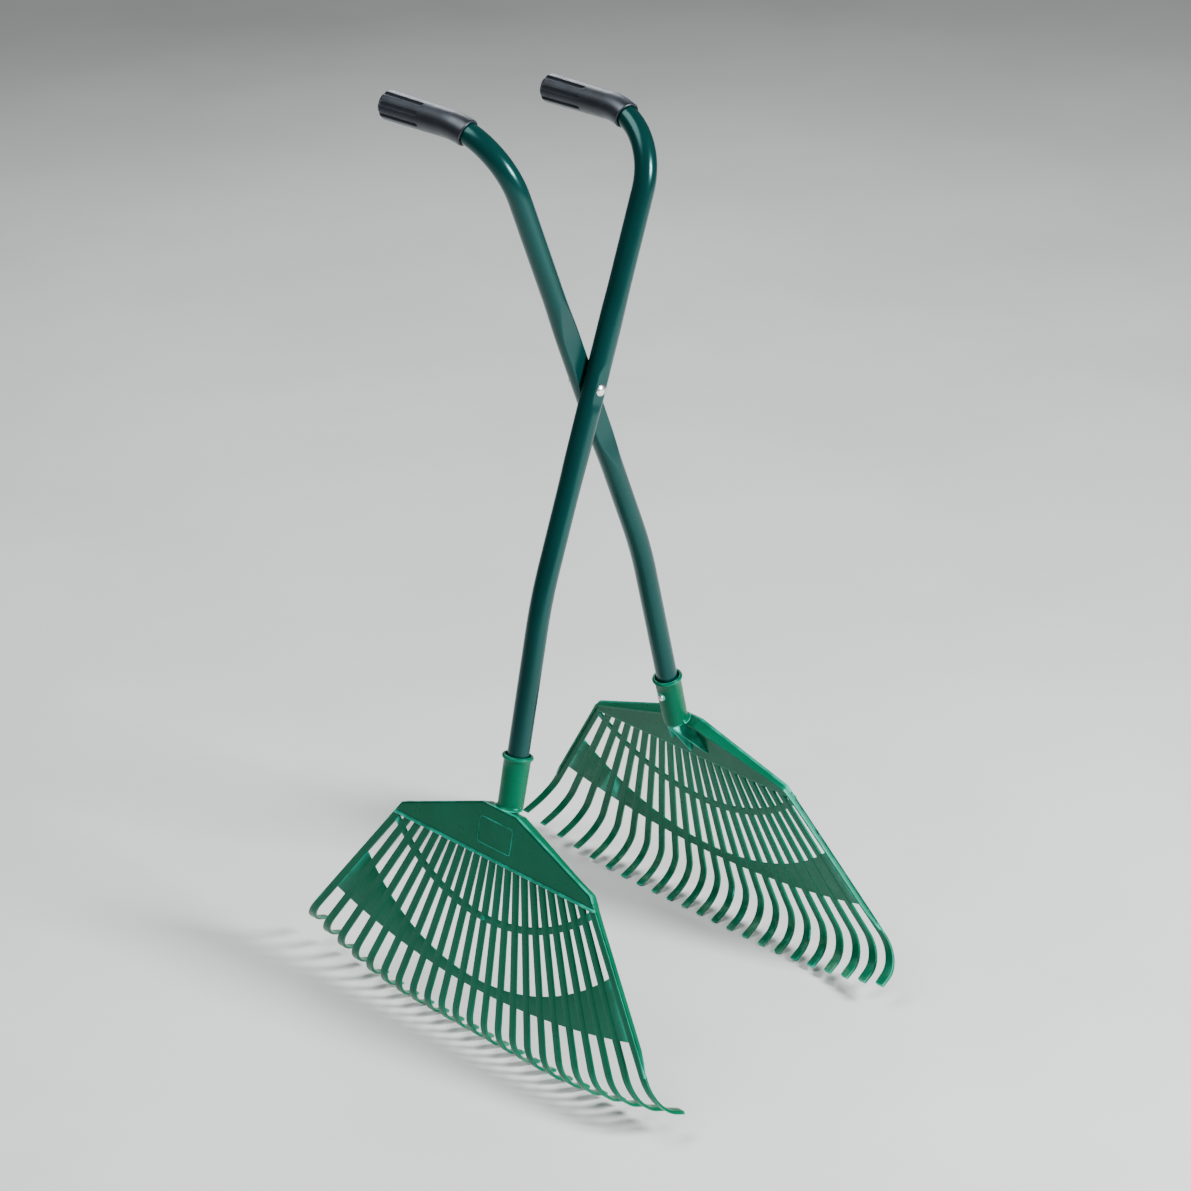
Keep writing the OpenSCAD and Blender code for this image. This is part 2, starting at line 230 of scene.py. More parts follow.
# ---------------------------------------------------------------- materials
class Nodes:
    """Short calls for building one procedural material."""

    def __init__(self, name):
        self.material = bpy.data.materials.new(name)
        self.material.use_nodes = True
        self.tree = self.material.node_tree
        self.shader = self.tree.nodes["Principled BSDF"]
        self.where = self.tree.nodes.new("ShaderNodeTexCoord").outputs["Object"]

    def link(self, source, target):
        self.tree.links.new(source, target)

    def set(self, **values):
        for name, value in values.items():
            socket = self.shader.inputs[name.replace("_", " ")]
            if isinstance(value, bpy.types.NodeSocket):
                self.link(value, socket)
            else:
                socket.default_value = value

    def noise(self, scale, detail=3.0, roughness=0.5, stretch=(1, 1, 1), distortion=0.0):
        mapping = self.tree.nodes.new("ShaderNodeMapping")
        mapping.inputs["Scale"].default_value = stretch
        self.link(self.where, mapping.inputs["Vector"])
        node = self.tree.nodes.new("ShaderNodeTexNoise")
        node.inputs["Scale"].default_value = scale
        node.inputs["Detail"].default_value = detail
        node.inputs["Roughness"].default_value = roughness
        node.inputs["Distortion"].default_value = distortion
        self.link(mapping.outputs["Vector"], node.inputs["Vector"])
        return node.outputs["Fac"]

    def spread(self, source, low, high, to_low=0.0, to_high=1.0):
        """Maps source from low..high to to_low..to_high, held at both ends."""
        node = self.tree.nodes.new("ShaderNodeMapRange")
        node.interpolation_type = "SMOOTHSTEP"
        limits = (("From Min", low), ("From Max", high), ("To Min", to_low), ("To Max", to_high))
        for name, value in limits:
            node.inputs[name].default_value = value
        self.link(source, node.inputs["Value"])
        return node.outputs["Result"]

    def math(self, operation, a, b):
        node = self.tree.nodes.new("ShaderNodeMath")
        node.operation = operation
        for socket, value in zip(node.inputs, (a, b)):
            if isinstance(value, bpy.types.NodeSocket):
                self.link(value, socket)
            else:
                socket.default_value = value
        return node.outputs["Value"]

    def mix(self, share, a, b):
        node = self.tree.nodes.new("ShaderNodeMix")
        node.data_type = "RGBA"
        for name, value in (("Factor", share), ("A", a), ("B", b)):
            socket = [s for s in node.inputs if s.name == name and s.enabled][0]
            if isinstance(value, bpy.types.NodeSocket):
                self.link(value, socket)
            else:
                socket.default_value = value if name == "Factor" else (*value, 1.0)
        return [s for s in node.outputs if s.enabled][0]

    def bump(self, height, strength, distance=0.001, under=None):
        node = self.tree.nodes.new("ShaderNodeBump")
        node.inputs["Strength"].default_value = strength
        node.inputs["Distance"].default_value = distance
        self.link(height, node.inputs["Height"])
        if under is not None:
            self.link(under, node.inputs["Normal"])
        return node.outputs["Normal"]

    def height(self):
        """Height above the floor at rest, in metres."""
        node = self.tree.nodes.new("ShaderNodeSeparateXYZ")
        self.link(self.where, node.inputs["Vector"])
        return node.outputs["Z"]

    def edges(self):
        node = self.tree.nodes.new("ShaderNodeNewGeometry")
        return node.outputs["Pointiness"]


def srgb(red, green, blue):
    """Linear colour from 0..255 screen values."""
    def linear(value):
        value /= 255
        return value / 12.92 if value <= 0.04045 else ((value + 0.055) / 1.055) ** 2.4
    return tuple(linear(v) for v in (red, green, blue))


def tube_paint():
    """Glossy dark green paint with a slight orange peel, faint scuffs and a little dust low down."""
    n = Nodes("tube_paint")
    tone = n.spread(n.noise(7, 4), 0.3, 0.7)
    colour = n.mix(tone, srgb(0, 40, 39), srgb(0, 49, 47))
    scuff = n.spread(n.noise(90, 4, 0.65, (1, 1, 0.3)), 0.68, 0.8, 0.0, 0.08)
    colour = n.mix(scuff, colour, srgb(60, 120, 110))
    low = n.spread(n.height(), 0.25, 0.36, 0.05, 0.0)
    dust = n.math("MULTIPLY", n.spread(n.noise(34, 5, 0.6), 0.5, 0.75), low)
    colour = n.mix(dust, colour, srgb(100, 110, 92))
    rough = n.math("ADD", n.spread(n.noise(26, 3), 0.3, 0.7, 0.2, 0.27), n.math("MULTIPLY", dust, 0.3))
    peel = n.bump(n.noise(300, 2, 0.5), 0.035, 0.0006)
    n.set(Base_Color=colour, Roughness=n.math("ADD", rough, n.math("MULTIPLY", scuff, 0.4)),
          Coat_Weight=0.2, Coat_Roughness=0.2, Coat_Tint=(0.7, 1.0, 0.98, 1.0),
          Specular_IOR_Level=0.32, Specular_Tint=(0.3, 1.0, 0.94, 1.0),
          Normal=n.bump(n.noise(1500, 2, 0.6), 0.02, 0.0002, peel))
    return n.material


def head_plastic():
    """Moulded green plastic: fine grain, soft flow marks, a painted pale aqua highlight on the edges and
    faintly dusty tips.
    """
    n = Nodes("head_plastic")
    flow = n.spread(n.noise(14, 5, 0.55, (1, 1, 0.35), 0.6), 0.3, 0.7)
    colour = n.mix(flow, srgb(0, 82, 54), srgb(0, 91, 62))
    patches = n.spread(n.noise(60, 4), 0.35, 0.65, 0.3, 0.85)
    # Painted highlight: pale aqua mixed in on sharp edges (pointiness), broken up by noise patches,
    # standing in for light catching the rims.
    edge_highlight = n.math("MULTIPLY", n.spread(n.edges(), 0.515, 0.57), patches)
    colour = n.mix(edge_highlight, colour, srgb(40, 200, 170))
    low = n.spread(n.height(), 0.0, 0.05, 0.4, 0.0)
    dust = n.math("MULTIPLY", n.spread(n.noise(70, 6, 0.65), 0.45, 0.7), low)
    colour = n.mix(dust, colour, srgb(110, 150, 118))
    grain = n.bump(n.noise(1500, 3, 0.6), 0.07, 0.00025)
    waves = n.bump(n.noise(38, 3, 0.5), 0.05, 0.003, grain)
    rough = n.math("ADD", n.spread(n.noise(90, 4), 0.3, 0.7, 0.27, 0.36), n.math("MULTIPLY", dust, 0.3))
    n.set(Base_Color=colour, Roughness=rough, Specular_IOR_Level=0.3, Normal=waves,
          Specular_Tint=(0.2, 1.0, 0.84, 1.0))
    return n.material


def grip_rubber():
    """Black soft grip with a satin, slightly bluish skin and faint handling marks."""
    n = Nodes("grip_rubber")
    tone = n.spread(n.noise(40, 5, 0.6), 0.35, 0.7)
    colour = n.mix(tone, srgb(17, 19, 24), srgb(27, 30, 37))
    marks = n.spread(n.noise(150, 6, 0.7), 0.62, 0.8, 0.0, 0.16)
    colour = n.mix(marks, colour, srgb(92, 98, 108))
    grain = n.bump(n.noise(2000, 3, 0.6), 0.12, 0.0002)
    n.set(Base_Color=colour, Roughness=n.spread(n.noise(70, 4), 0.3, 0.7, 0.33, 0.43), IOR=1.6,
          Specular_Tint=(0.82, 0.9, 1.0, 1.0), Sheen_Weight=0.3, Sheen_Roughness=0.35,
          Sheen_Tint=(0.7, 0.8, 1.0, 1.0), Normal=n.bump(n.noise(160, 3), 0.04, 0.001, grain))
    return n.material


def bright_steel():
    """Bright zinc plate with fine turning marks."""
    n = Nodes("bright_steel")
    tone = n.spread(n.noise(300, 4), 0.3, 0.7)
    colour = n.mix(tone, srgb(232, 234, 236), srgb(248, 248, 247))
    fine = n.bump(n.noise(2600, 2, 0.5), 0.06, 0.0001)
    n.set(Base_Color=colour, Metallic=1.0, Roughness=n.spread(n.noise(500, 3), 0.3, 0.7, 0.24, 0.36),
          Normal=fine)
    return n.material


def nylon_insert():
    """Matt off-white nylon."""
    n = Nodes("nylon_insert")
    tone = n.spread(n.noise(400, 3), 0.3, 0.7)
    n.set(Base_Color=n.mix(tone, srgb(196, 198, 200), srgb(216, 218, 219)), Roughness=0.5,
          Normal=n.bump(n.noise(1800, 2), 0.1, 0.0002))
    return n.material


def floor_grey():
    """Plain pale studio floor."""
    n = Nodes("floor_grey")
    tone = n.spread(n.noise(2.2, 5, 0.55), 0.3, 0.7)
    n.set(Base_Color=n.mix(tone, srgb(228, 228, 226), srgb(236, 236, 234)), Roughness=0.75,
          Normal=n.bump(n.noise(240, 3), 0.04, 0.001))
    return n.material


PAINT, PLASTIC, RUBBER, STEEL, NYLON = (
    tube_paint(), head_plastic(), grip_rubber(), bright_steel(), nylon_insert())


# ---------------------------------------------------------------- tubes
def tube_path(reach):
    """Frames along an arm tube, from its lower to its upper end in the arm's frame, z along the tube."""
    margin = 2
    frames = []
    here = BELOW_KNEE @ shift(z=TUBE_FLOOR - BASE_DROP)

    def straight(length, steps):
        nonlocal here
        for i in range(steps):
            frames.append(here @ shift(z=length * i / steps))
        here = here @ shift(z=length)

    def bend(radius, degrees, axis, steps):
        nonlocal here
        start = here
        for i in range(steps + 1):
            t = math.radians(degrees) * i / steps
            side, up = radius * (1 - math.cos(t)), radius * math.sin(abs(t))
            step = shift(side, 0, up) if axis == "Y" else shift(0, side, up)
            here = start @ step @ turn(math.degrees(t), axis)
            if i < steps:
                frames.append(here)

    straight(BASE_DROP - TUBE_FLOOR - KNEE_TANGENT, 8)
    bend(KNEE_R, KNEE_ANGLE, "Y", 12)
    straight(KNEE_DROP - KNEE_TANGENT - RAMP_END - margin, 4)
    straight(2 * (RAMP_END + margin), 72)
    straight(reach - HANDLE_R - RAMP_END - margin, 5)
    bend(HANDLE_R, -90, "X", 36)
    straight(GRIP_LEN - GRIP_FLOOR, 3)
    frames.append(here)
    return frames


def soft_limit(value, limit, blend):
    """value held below limit, with a rounded transition about blend wide."""
    gap = (value - limit) / blend
    if gap < -8:
        return value
    return value - blend * math.log1p(math.exp(gap)) if gap < 8 else limit


def tube_ring(matrix, radius, inner_side):
    """One section of the tube: round, and pressed flat towards the other arm near the pivot."""
    steps, bulge = 64, 0.13
    inner_blend, outer_blend, least_blend = 0.35, 0.25, 0.01
    origin = matrix @ Vector((0, 0, 0))
    near = 1 if abs(matrix.to_3x3()[1][2]) < 0.5 and abs(origin.x) < 1 else 0
    away = abs(origin.z)
    press = near * (1 - smooth(FLAT_HALF, RAMP_END, away))
    seat = near * (1 - smooth(SEAT_HALF, SEAT_RAMP_END, away))
    inner_limit = radius - (TUBE_R - INNER_FLAT) * press
    outer_limit = radius - (TUBE_R - OUTER_FLAT) * seat
    points = []
    for i in range(steps):
        t = 2 * math.pi * i / steps
        x, y = radius * math.cos(t) * (1 + bulge * press), radius * math.sin(t) * inner_side
        if press > 0:
            y = soft_limit(y, inner_limit, inner_blend * press + least_blend)
        if seat > 0:
            y = -soft_limit(-y, outer_limit, outer_blend * seat + least_blend)
        points.append(matrix @ Vector((x, y * inner_side, 0)))
    return points


def build_tube(side):
    """One arm: a hollow tube bent at the handle and below the pivot, open at both ends."""
    inner_side = 1 if side == "a" else -1
    path = tube_path(REACH[side])
    outer = [tube_ring(m, TUBE_R, inner_side) for m in path]
    inner = [tube_ring(m, TUBE_R - WALL, inner_side) for m in path]
    shape = Shape().loft(outer + inner[::-1], ring_loop=True)
    place("arm_tube_" + side, shape, arm_frame(side), "arm_" + side,
          PAINT, "tube_paint", ["tube_" + side])


# ---------------------------------------------------------------- grips
WRAP_LEN = HANDLE_R * math.radians(GRIP_WRAP)
GRIP_LIP = 1.2


def along_grip(s):
    """Frame on the grip's axis, z along it, s from the end of the handle bend (mouth at -WRAP_LEN)."""
    if s >= 0:
        return shift(z=s)
    back = s / HANDLE_R
    centre = shift(0, HANDLE_R, 0)
    return centre @ turn(-math.degrees(back), "X") @ shift(0, -HANDLE_R, 0)


def grip_radius(s):
    """Outer radius of the plain grip at distance s from the end of the bend."""
    from_mouth = s + WRAP_LEN
    if from_mouth < GRIP_LIP:
        return GRIP_MOUTH_R - GRIP_LIP + math.sqrt(max(0, GRIP_LIP ** 2 - (GRIP_LIP - from_mouth) ** 2))
    body_end = GRIP_LEN - GRIP_DOME_R
    taper = GRIP_MOUTH_R + (GRIP_R - GRIP_MOUTH_R) * min(1, max(0, s) / body_end)
    if s <= body_end:
        return taper
    return GRIP_R - GRIP_DOME_R + math.sqrt(max(0, GRIP_DOME_R ** 2 - (s - body_end) ** 2))


def build_grip(side):
    """A closed sleeve with a tapered body, short flutes at its end and a flared mouth around the bend."""
    flute_half, flute_depth = 2.6, 2.0
    flute_len, flute_gap = 50, 3
    flute_to = GRIP_LEN - flute_gap
    flute_from = flute_to - flute_len
    body_end = GRIP_LEN - GRIP_DOME_R
    levels = [GRIP_LIP * (1 - math.cos(math.pi / 2 * i / 5)) - WRAP_LEN for i in range(6)]
    levels += [levels[-1] + (flute_from - 5 - levels[-1]) * i / 22 for i in range(1, 23)]
    levels += [levels[-1] + (body_end - levels[-1]) * i / 56 for i in range(1, 57)]
    levels += [body_end + GRIP_DOME_R * math.sin(math.pi / 2 * i / 10) for i in range(1, 11)]
    steps = 240
    turns = [2 * math.pi * i / steps for i in range(steps)]
    pitch = 2 * math.pi / FLUTES
    rings = []
    for level in levels:
        base = grip_radius(level)
        here = along_grip(level)
        ring = []
        for t in turns:
            across = ((t / pitch + 0.5) % 1 - 0.5) * pitch * GRIP_R
            along = max(flute_from - level, level - flute_to, 0)
            away = math.hypot(across, along) / flute_half
            r = base - flute_depth * (1 - smooth(0.45, 1.0, away))
            ring.append(here @ Vector((r * math.cos(t), r * math.sin(t), 0)))
        rings.append(ring)
    bore = [(GRIP_LEN - GRIP_FLOOR, TUBE_R), (0.0, TUBE_R)]
    bore += [(-WRAP_LEN * i / 6, TUBE_R) for i in range(1, 6)]
    bore += [(1.6 - WRAP_LEN, 11.15), (0.5 - WRAP_LEN, 11.7), (-WRAP_LEN, 12.3)]
    inner = [[along_grip(level) @ Vector((r * math.cos(t), r * math.sin(t), 0)) for t in turns]
             for level, r in bore]
    shape = Shape().loft(inner + rings)
    matrix = arm_frame(side) @ shift(0, HANDLE_R, REACH[side]) @ turn(-90, "X")
    place("grip_sleeve_" + side, shape, matrix, "arm_" + side,
          RUBBER, "grip_rubber", ["grip_" + side])


# ---------------------------------------------------------------- rake heads
def tip_level(k):
    """Level below the head base at which tine k ends: flat in the middle, higher at the sides."""
    share = max(0, abs(k) - FLAT_TINES) / (SIDE_TINES - FLAT_TINES)
    return TIP_DROP - SIDE_RISE * share ** 2


def tine_reach(k):
    """Distance from the fan's apex to the start of the curl."""
    return (FAN_APEX + tip_level(k) - CURL_ALONG) / math.cos(math.radians(k * TINE_PITCH))


def add_tine(shape, k):
    """One strip leaning from the fan's apex, curled about a level line so that its end is level too."""
    overlap, corner_r = 6, 0.75
    lean = math.radians(k * TINE_PITCH)
    top, curl_start = overlap - YOKE_FOOT, CURL_ALONG - tip_level(k)
    middle = TINE_X - CURL_R
    heights = [top, top - 0.8, top - 2.5]
    heights += [heights[-1] + (curl_start - heights[-1]) * i / 10 for i in range(1, 11)]
    stations = [(TINE_X, z, 0.0, 1.0) for z in heights]
    for i in range(1, 15):
        t = CURL * i / 14
        stations.append((middle + CURL_R * math.cos(t), curl_start - CURL_R * math.sin(t), t, 1.0))
    bent_x, bent_z = stations[-1][:2]
    # The tip narrows slowly and ends in a small bevel.
    for along, size in ((0.4, 0.98), (0.9, TIP_SIZE + 0.01), (0.97, TIP_SIZE), (1.0, 0.8)):
        length = TIP_LEN * along
        stations.append((bent_x - length * math.sin(CURL), bent_z - length * math.cos(CURL), CURL, size))
    rings = []
    for x, z, t, size in stations:
        ring = []
        for out, across in rounded_rect(TINE_T * size, TINE_W * size, corner_r * size):
            z_here = z - out * math.sin(t)
            y_here = (FAN_APEX - z_here) * math.tan(lean) + across / math.cos(lean)
            ring.append((x + out * math.cos(t), y_here, z_here))
        rings.append(ring)
    shape.loft(rings)


def rim_line():
    """Half of the head's outer edge as (y, z), from the middle of the neck to the last tine's curl."""
    outward = Vector((math.cos(FAN_ANGLE), math.sin(FAN_ANGLE)))
    along = Vector((math.sin(FAN_ANGLE), -math.cos(FAN_ANGLE)))
    apex = Vector((0, FAN_APEX)) + outward * (TINE_W / 2)
    corner = apex + along * ((FAN_APEX + SHOULDER_DROP) / math.cos(FAN_ANGLE) + 2)
    end = apex + along * tine_reach(SIDE_TINES)
    return [(0, 0), (NECK_HALF, 0), tuple(corner), tuple(end)]


def add_rim(shape):
    """The folded edge: deep at the neck, shallower on the shoulders and down the outermost tines."""
    bend_r, piece_len, corner_r = 9, 14, 0.7
    neck_depth, shoulder_loss, side_loss, end_share = 15, 6.5, 1.3, 0.68
    neck_thick, side_thin = 2.6, 0.5
    half = round_corners(rim_line(), bend_r, closed=False, steps=8)
    dense = []
    for a, b in zip(half, half[1:]):
        pieces = max(1, round((Vector(b) - Vector(a)).length / piece_len))
        dense += [tuple(Vector(a).lerp(Vector(b), i / pieces)) for i in range(pieces)]
    dense.append(half[-1])
    line = [(-y, z) for y, z in dense[:0:-1]] + dense
    lengths = [0.0]
    for a, b in zip(dense, dense[1:]):
        lengths.append(lengths[-1] + (Vector(b) - Vector(a)).length)
    shoulder_out = 113
    corner_at = NECK_HALF + math.hypot(shoulder_out, SHOULDER_DROP)
    total = lengths[-1]
    draft = math.tan(math.radians(9))
    rings = []
    for i, point in enumerate(line):
        distance = lengths[abs(i - (len(dense) - 1))]
        here = Vector(point)
        back = (here - Vector(line[i - 1])).normalized() if i else None
        on = (Vector(line[i + 1]) - here).normalized() if i + 1 < len(line) else None
        run = (back or on) + (on or back)
        normal = Vector((-run.y, run.x)).normalized()
        depth = neck_depth - shoulder_loss * smooth(8, corner_at, distance)
        depth -= side_loss * smooth(corner_at, corner_at + 20, distance)
        depth *= 1 - end_share * smooth(total - 24, total, distance)
        thick = neck_thick - side_thin * smooth(corner_at - 20, corner_at + 20, distance)
        slope = draft * (1 - smooth(corner_at - 30, corner_at + 10, distance))
        section = []
        for x, n in rounded_rect(depth, thick, corner_r):
            x_place = FACE_X - depth / 2 + x
            section.append((x_place, n - thick / 2 - (FACE_X - x_place) * slope))
        rings.append([(x, here.x + normal.x * n, here.y + normal.y * n) for x, n in section])
    shape.loft(rings)


def add_plate(shape):
    """Flat panel behind the rim, with its raised lower lip."""
    corner_r, bevel, flat_margin = 5, 0.6, 2.5
    lip_r, lip_up, lip_steps = 1.7, 1.3, 10
    line = rim_line()
    foot = (FAN_APEX + YOKE_FOOT) * math.tan(FAN_ANGLE) + TINE_W / 2 / math.cos(FAN_ANGLE)
    half = [line[1], line[2], (foot, -YOKE_FOOT)]
    outline = half + [(-y, z) for y, z in reversed(half)]
    outline = round_corners(outline, corner_r)
    shape.slab(outline, FACE_X - PLATE_T, FACE_X, bevel, lambda y, z, x: (x, y, z),
               margin=flat_margin)
    turns = [2 * math.pi * i / lip_steps for i in range(lip_steps)]
    stations = [(-foot + 1.0, 0.3), (-foot + 3.0, 1.0)]
    stations += [((foot - 6) * i / 6, 1.0) for i in range(-5, 6)]
    stations += [(foot - 3.0, 1.0), (foot - 1.0, 0.3)]
    rings = []
    for y, size in stations:
        r, middle = lip_r * size, lip_up - YOKE_FOOT
        rings.append([(FACE_X + r * math.cos(t), y, middle + r * math.sin(t)) for t in turns])
    shape.loft(rings)


def add_outline_mark(shape):
    """A plain rounded rectangle in low relief on the plate."""
    width, height, corner_r, line_r = 46.0, 27.0, 3.0, 0.55
    middle, steps = -28.0, 10
    path = rounded_rect(width, height, corner_r, 6)
    turns = [2 * math.pi * j / steps for j in range(steps)]
    rings = []
    for i, (y, z) in enumerate(path):
        out = (Vector(path[(i + 1) % len(path)]) - Vector(path[i - 1])).normalized()
        out = Vector((out.y, -out.x))
        rings.append([(FACE_X + line_r * math.sin(t), y + out.x * line_r * math.cos(t),
                       middle + z + out.y * line_r * math.cos(t)) for t in turns])
    shape.loft(rings, ring_loop=True)


def band_end():
    """Angle about the band's centre at which it meets the outermost tine."""
    low, high = 0.0, math.pi / 2
    for _ in range(40):
        t = (low + high) / 2
        y, z = BAND_R * math.sin(t), BAND_CENTRE - BAND_R * math.cos(t)
        inside = math.atan2(y, FAN_APEX - z) < FAN_ANGLE
        low, high = (t, high) if inside else (low, t)
    return low


def add_thin_band(shape):
    """The thin band across the tines, an arc of one circle."""
    width, thick, corner_r, half_steps = 7.6, 2.4, 0.6, 28
    end = band_end()
    rings = []
    for i in range(2 * half_steps + 1):
        t = end * (i / half_steps - 1)
        spoke = Vector((math.sin(t), -math.cos(t)))
        rings.append([(TINE_X + x, spoke.x * (BAND_R + n), BAND_CENTRE + spoke.y * (BAND_R + n))
                      for x, n in rounded_rect(thick, width, corner_r)])
    shape.loft(rings)


def circle_hit(radius, centre, angle):
    """Distance from the fan's apex, along a line at angle, to a circle centred on the middle line."""
    offset = FAN_APEX - centre
    along = offset * math.cos(angle)
    return along + math.sqrt(radius ** 2 - offset ** 2 + along ** 2)


def add_wide_web(shape):
    """The wide web across the tines, narrow in the middle and broad at both sides."""
    thick, corner_r, half_steps = 2.2, 0.55, 33
    rings = []
    for i in range(2 * half_steps + 1):
        angle = FAN_ANGLE * (i / half_steps - 1)
        upper = circle_hit(WEB_UPPER_R, WEB_UPPER_CENTRE, angle)
        lower = circle_hit(WEB_LOWER_R, WEB_LOWER_CENTRE, angle)
        ray = Vector((math.sin(angle), -math.cos(angle)))
        middle, width = (upper + lower) / 2, lower - upper
        rings.append([(TINE_X + x, ray.x * (middle + n), FAN_APEX + ray.y * (middle + n))
                      for x, n in rounded_rect(thick, width, corner_r)])
    shape.loft(rings)


def add_socket(shape):
    """The socket for the tube, with a bead ring at its mouth, a collar at its foot and a screw boss."""
    bead_r, bead_at, bead_z, foot_z = 2.2, 13.6, SOCKET_LEN - 2.2, 0.5
    profile = [(0, -2), (11.9, -2), (12.6, -1.7), (12.95, -1.0), (SOCKET_R, foot_z)]
    profile += [(SOCKET_R + SOCKET_FLARE * i / 6, foot_z + (bead_z - 4) * i / 6) for i in range(1, 7)]
    profile += [(bead_at + bead_r * math.cos(t), bead_z + bead_r * math.sin(t))
                for t in (math.radians(-68 + 15 * i) for i in range(11))]
    mouth = [(13.7, 0.25), (13.2, 0.2), (12.75, -0.2), (12.3, -2.0), (11.3, -5.0), (BORE_R, -7.0)]
    profile += [(r, SOCKET_LEN + z) for r, z in mouth]
    profile += [(BORE_R, 2), (0, 2)]
    shape.lathe(profile)
    add_collar(shape)
    boss = [(0, 0), (5.0, 0), (5.0, 2.4), (4.6, 2.9), (0, 3.0)]
    shape.lathe(boss, shift(-11.05, 0, 36) @ turn(-90, "Y"), 40)


def add_collar(shape):
    """The flared foot of the socket, where it runs into the plate."""
    height, top_r, flare, steepness = 4.5, 13.0, 2.8, 2.3
    levels, steps, half_sweep = 6, 40, 96
    rings = []
    for level in range(levels + 1):
        z = height * level / levels
        r = top_r + flare * (1 - level / levels) ** steepness
        turns = [math.radians(half_sweep * (2 * i / steps - 1)) for i in range(steps + 1)]
        ring = [(min(r * math.cos(t), FACE_X), r * math.sin(t), z) for t in turns]
        rings.append(ring + [(-1.5, 8, z), (-1.5, -8, z)])
    shape.loft(rings)


def add_gussets(shape):
    """Ribs behind the plate, fanning out from under the socket."""
    half_t, bevel, foot = 1.2, 0.5, -50
    hidden_x = FACE_X - 2
    outline = [(hidden_x, -1.5), (-10.5, -1.5), (-11, -4.5)]
    outline += [(FACE_X - PLATE_T - 1, foot), (hidden_x, foot)]
    for lean in (-30, 0, 30):
        shape.slab(outline, -half_t, half_t, bevel, lambda x, z, y: (x, y, z), turn(lean, "X"))


def add_gate_mark(shape):
    """The small sprue nub where the mould was filled, on the thin band."""
    profile = [(0, 0), (2.6, 0), (2.6, 1.9), (2.3, 2.5), (1.6, 2.6), (1.2, 2.2), (0, 2.2)]
    shape.lathe(profile, shift(TINE_X + 0.4, 0, BAND_CENTRE - BAND_R) @ turn(90, "Y"), 28)


def build_head(side):
    """One rake head; both are the same moulding."""
    shape = Shape()
    add_socket(shape)
    add_plate(shape)
    add_rim(shape)
    add_gussets(shape)
    add_outline_mark(shape)
    add_thin_band(shape)
    add_wide_web(shape)
    add_gate_mark(shape)
    for k in range(-SIDE_TINES, SIDE_TINES + 1):
        add_tine(shape, k)
    place("rake_moulding_" + side, shape, arm_frame(side) @ AT_HEAD, "arm_" + side,
          PLASTIC, "head_plastic", ["rake_head_" + side])


# ---------------------------------------------------------------- pivot hardware
def build_bolt():
    """Domed head on the front tube's seat, plain shank and a threaded tail behind the rear tube."""
    head_r, head_h, rim = 6.0, 3.4, 0.7
    pitch, depth, tail = 1.0, 0.5, SEAT_Y + 8.3
    shape = Shape()
    profile = [(0, -0.3), (head_r - 0.25, 0), (head_r, 0.2), (head_r, rim)]
    cap = head_h - rim
    dome = (head_r ** 2 + cap ** 2) / (2 * cap)
    for i in range(1, 15):
        r = head_r * math.cos(math.pi / 2 * i / 14)
        profile.append((r, head_h - dome + math.sqrt(dome ** 2 - r ** 2)))
    shape.lathe(profile, shift(z=-SEAT_Y) @ turn(180, "X"))
    shank = [(0, -SEAT_Y), (BOLT_R, -SEAT_Y), (BOLT_R, SEAT_Y)]
    threads = int((tail - 0.6 - SEAT_Y) / pitch)
    for i in range(threads):
        z = SEAT_Y + i * pitch
        shank += [(BOLT_R, z + 0.12), (BOLT_R - depth, z + 0.5), (BOLT_R, z + 0.88)]
    shank += [(BOLT_R - 0.7, tail), (0, tail)]
    shape.lathe(shank, steps=48)
    place("pivot_bolt_domed", shape, ON_PIVOT, "arm_a", STEEL, "bright_steel", ["pivot_bolt"], sharp=40)


def build_nut():
    """Hexagon with chamfered corners, the collar of a lock nut and its nylon ring."""
    flats, slip, washer = 10.0, 0.1, 1.2
    base = SEAT_Y + slip + washer
    corner_r = flats / 2 / math.cos(math.pi / 6)
    hexagon = [(corner_r * math.cos(math.pi / 3 * i), corner_r * math.sin(math.pi / 3 * i))
               for i in range(6)]
    body = []
    for z, size in ((0, 0.93), (0.4, 1.0), (4.1, 1.0), (4.5, 0.94)):
        limit = corner_r * size
        ring = []
        for i in range(6):
            a, b = Vector(hexagon[i]), Vector(hexagon[(i + 1) % 6])
            for j in range(8):
                point = a.lerp(b, j / 8)
                if point.length > limit:
                    point = point.normalized() * limit
                ring.append((point.x, point.y, z))
        body.append(ring)
    shape = Shape().loft(body)
    collar = [(0, 4.4), (4.9, 4.4), (4.8, 5.2), (4.4, 5.8)]
    collar += [(3.9, 6.0), (3.5, 5.9), (3.4, 5.5), (0, 5.5)]
    shape.lathe(collar, steps=60)
    seat = ON_PIVOT @ shift(z=base)
    place("pivot_lock_nut", shape, seat, "arm_a", STEEL, "bright_steel", ["pivot_nut"], sharp=30)
    section = [(2.9, 5.2), (3.5, 5.2), (3.5, 5.7), (3.3, 5.85), (3.05, 5.85), (2.9, 5.7)]
    place("lock_nut_insert", Shape().lathe(section, steps=48), seat, "arm_a", NYLON, "bright_steel")


for arm in ("a", "b"):
    build_tube(arm)
    build_grip(arm)
    build_head(arm)
build_bolt()
build_nut()
for node in ("socket_screw_a", "socket_screw_b", "spacer_washer", "nut_washer"):
    metal = frame["nodes"][node]
    metal.data.materials.clear()
    metal.data.materials.append(STEEL)


